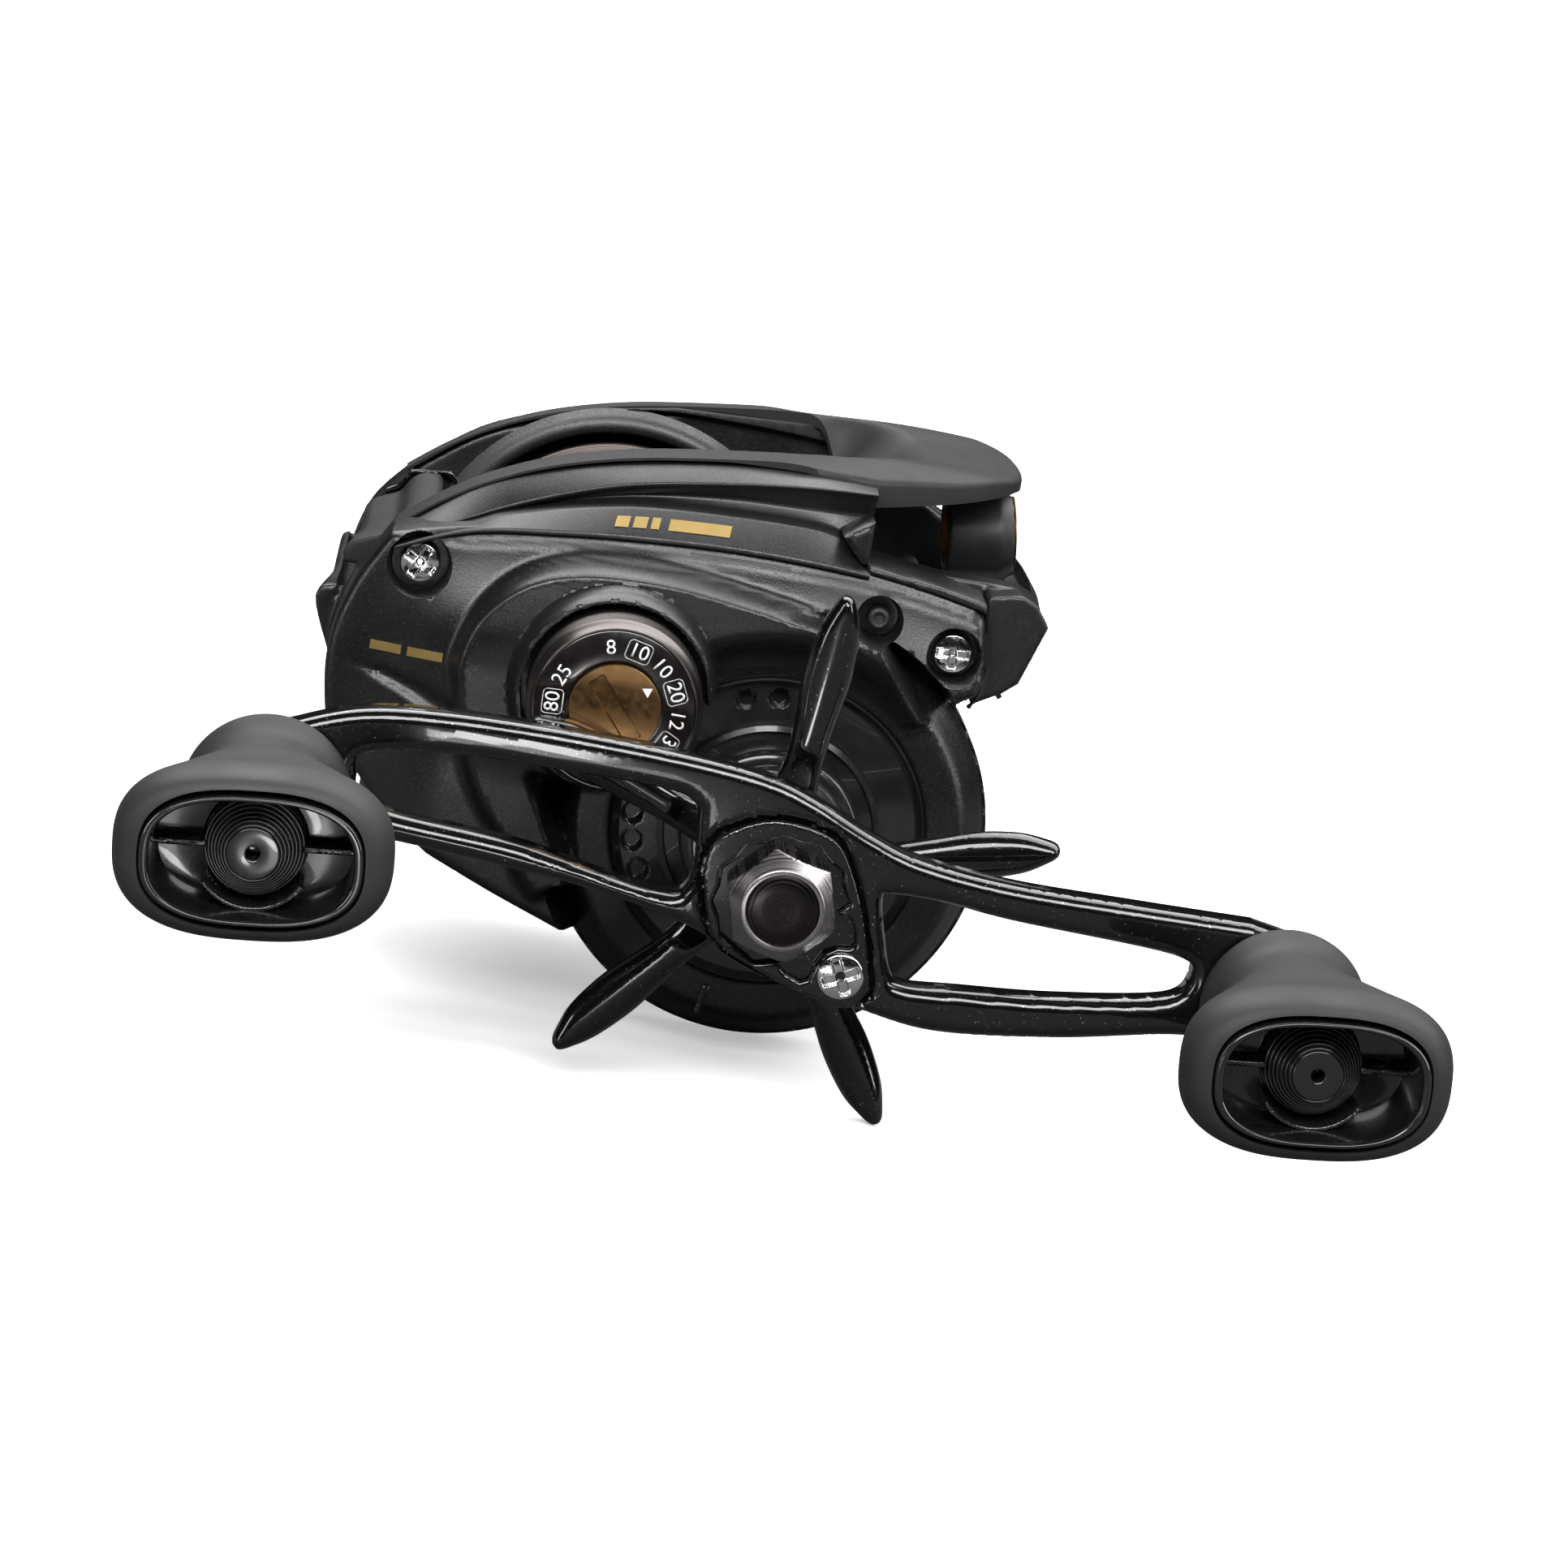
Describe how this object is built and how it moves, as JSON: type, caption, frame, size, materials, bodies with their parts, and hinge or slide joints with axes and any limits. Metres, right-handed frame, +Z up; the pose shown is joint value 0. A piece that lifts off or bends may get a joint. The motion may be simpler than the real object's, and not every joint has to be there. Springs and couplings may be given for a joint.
{
  "type": "baitcasting reel",
  "caption": "Low-profile baitcasting fishing reel with a double-knob handle, star drag, side dial, thumb bar, level-wind line guide and a foot for a rod seat.",
  "frame": {"origin": "middle of the reel foot's flat underside, below the spool axis and midway between the side plates", "axes": "+X forwards, the way the line leaves; -Y the handle side; +Z up, away from the rod"},
  "size_m": [0.1201, 0.0975, 0.0588],
  "materials": {
    "frame_black": "satin black paint with a fine speckle",
    "cover_black": "satin black paint on a moulded composite cover",
    "hood_black": "soft matte black",
    "gloss_black": "gloss black with a fine metallic flake",
    "grip_rubber": "matte dark rubber",
    "insert_gloss": "gloss black moulding",
    "gunmetal": "dark anodised, turned",
    "spool_metal": "brownish titanium anodised, turned",
    "dial_black": "gloss black with white numbers",
    "bronze": "bronze, turned and lightly scratched",
    "brass": "machined brass",
    "steel": "machined steel",
    "chrome": "bright plated",
    "inner_plastic": "plain black acetal"
  },
  "bodies": {
    "body": {"frame": "frame_black", "reel_foot": "frame_black", "foot_screw_rear": "steel", "foot_screw_front": "steel", "handle_side_cover": "cover_black", "cover_screw_rear": "chrome", "cover_screw_front": "chrome", "oil_port_screw": "inner_plastic", "front_hood": "hood_black", "palm_side_cover": "cover_black", "brake_drum": "steel", "spool_bearing_inner": "steel", "spool_bearing_outer": "steel", "spool_bearing_palm": "steel", "drive_shaft_bearing": "steel", "anti_reverse_bearing": "steel", "worm_guard": "inner_plastic", "guide_rod": "steel", "yoke_spring_upper": "steel", "yoke_spring_lower": "steel"},
    "drive": {"drive_shaft": "steel", "level_wind_gear": "inner_plastic", "ratchet_wheel": "steel", "drive_gear": "brass", "drag_washer": "inner_plastic", "anti_reverse_sleeve": "steel", "handle_spacer": "gunmetal", "handle": "gloss_black", "handle_nut": "gunmetal", "nut_retainer": "gloss_black", "retainer_screw": "chrome", "knob_post_rear": "steel", "knob_post_front": "steel"},
    "star": {"star_drag": "gloss_black"},
    "knob_rear": {"knob_grip_rear": "grip_rubber", "knob_insert_rear": "insert_gloss"},
    "knob_front": {"knob_grip_front": "grip_rubber", "knob_insert_front": "insert_gloss"},
    "spool_unit": {"spool": "spool_metal", "spool_shaft": "steel", "brake_hub": "inner_plastic"},
    "yoke": {"clutch_yoke": "steel"},
    "pinion_unit": {"pinion": "brass"},
    "thumb_bar_unit": {"thumb_bar": "hood_black"},
    "cam": {"clutch_cam": "steel"},
    "tension": {"tension_knob": "gunmetal", "tension_dial_plate": "dial_black"},
    "indicator": {"line_indicator": "bronze"},
    "worm": {"worm_shaft": "steel", "worm_gear": "inner_plastic"},
    "idler": {"idler_gear": "inner_plastic"},
    "guide": {"line_guide": "inner_plastic", "line_guide_ring": "bronze"},
    "guide_pawl": {"worm_pawl": "steel"},
    "pawl": {"anti_reverse_pawl": "steel"},
    "latch": {"palm_cover_latch": "gloss_black"},
    "block_1": {"brake_block_1": "brass"},
    "block_2": {"brake_block_2": "brass"},
    "block_3": {"brake_block_3": "brass"},
    "block_4": {"brake_block_4": "brass"}
  },
  "joints": [
    {"name": "handle_turn", "type": "hinge", "parent": "body", "child": "drive", "pos_m": [0.017, 0, 0.008], "axis": [0, 1, 0], "continuous": true},
    {"name": "star_turn", "type": "hinge", "parent": "drive", "child": "star", "pos_m": [0.017, 0, 0.008], "axis": [0, 1, 0], "range_deg": [-180, 180]},
    {"name": "rear_knob_spin", "type": "hinge", "parent": "drive", "child": "knob_rear", "pos_m": [-0.03042, 0, 0.01085], "axis": [0, 1, 0], "continuous": true},
    {"name": "front_knob_spin", "type": "hinge", "parent": "drive", "child": "knob_front", "pos_m": [0.06438, 0, 0.00455], "axis": [0, 1, 0], "continuous": true},
    {"name": "spool_spin", "type": "hinge", "parent": "body", "child": "spool_unit", "pos_m": [0, 0, 0.0205], "axis": [0, 1, 0], "continuous": true},
    {"name": "thumb_bar_press", "type": "slide", "parent": "body", "child": "thumb_bar_unit", "axis": [0, 0, -1], "range_m": [0, 0.003]},
    {"name": "clutch_cam_turn", "type": "hinge", "parent": "body", "child": "cam", "pos_m": [0, 0, 0.0205], "axis": [0, -1, 0], "range_deg": [0, 8]},
    {"name": "clutch_yoke_slide", "type": "slide", "parent": "body", "child": "yoke", "axis": [0, -1, 0], "range_m": [0, 0.0012], "deforming": ["yoke_spring_upper", "yoke_spring_lower"]},
    {"name": "pinion_spin", "type": "hinge", "parent": "yoke", "child": "pinion_unit", "pos_m": [0, 0, 0.0205], "axis": [0, 1, 0], "continuous": true},
    {"name": "tension_knob_turn", "type": "hinge", "parent": "body", "child": "tension", "pos_m": [0, 0, 0.0205], "axis": [0, 1, 0], "range_deg": [-180, 180]},
    {"name": "line_indicator_turn", "type": "hinge", "parent": "tension", "child": "indicator", "pos_m": [0, 0, 0.0205], "axis": [0, 1, 0], "range_deg": [-180, 180]},
    {"name": "worm_spin", "type": "hinge", "parent": "body", "child": "worm", "pos_m": [0.0354, 0, 0.026], "axis": [0, 1, 0], "continuous": true},
    {"name": "idler_spin", "type": "hinge", "parent": "body", "child": "idler", "pos_m": [0.02516, 0, 0.02234], "axis": [0, 1, 0], "continuous": true},
    {"name": "line_guide_travel", "type": "slide", "parent": "body", "child": "guide", "axis": [0, 1, 0], "range_m": [-0.009, 0.009]},
    {"name": "guide_pawl_swivel", "type": "hinge", "parent": "guide", "child": "guide_pawl", "pos_m": [0.0354, 0, 0.023], "axis": [0, 0, 1], "range_deg": [-25, 25]},
    {"name": "anti_reverse_pawl_drop", "type": "hinge", "parent": "body", "child": "pawl", "pos_m": [0.008, 0, 0.0018], "axis": [0, 1, 0], "range_deg": [0, 12]},
    {"name": "palm_cover_latch_turn", "type": "hinge", "parent": "body", "child": "latch", "pos_m": [-0.017, 0, 0.01], "axis": [0, 1, 0], "range_deg": [0, 45]},
    {"name": "brake_block_1_slide", "type": "slide", "parent": "spool_unit", "child": "block_1", "axis": [1, 0, 0], "range_m": [-0.001, 0.0001]},
    {"name": "brake_block_2_slide", "type": "slide", "parent": "spool_unit", "child": "block_2", "axis": [0, 0, 1], "range_m": [-0.001, 0.0001]},
    {"name": "brake_block_3_slide", "type": "slide", "parent": "spool_unit", "child": "block_3", "axis": [-1, 0, 0], "range_m": [-0.001, 0.0001]},
    {"name": "brake_block_4_slide", "type": "slide", "parent": "spool_unit", "child": "block_4", "axis": [0, 0, -1], "range_m": [-0.001, 0.0001]}
  ],
  "couplings": [
    {"joint": "spool_spin", "follows": "handle_turn", "ratio": -7.5},
    {"joint": "pinion_spin", "follows": "handle_turn", "ratio": -7.5},
    {"joint": "worm_spin", "follows": "handle_turn", "ratio": 2.6667},
    {"joint": "idler_spin", "follows": "handle_turn", "ratio": -1.2},
    {"joint": "clutch_cam_turn", "follows": "thumb_bar_press", "rad_per_m": 45.597},
    {"joint": "clutch_yoke_slide", "follows": "thumb_bar_press", "ratio": 0.4}
  ]
}
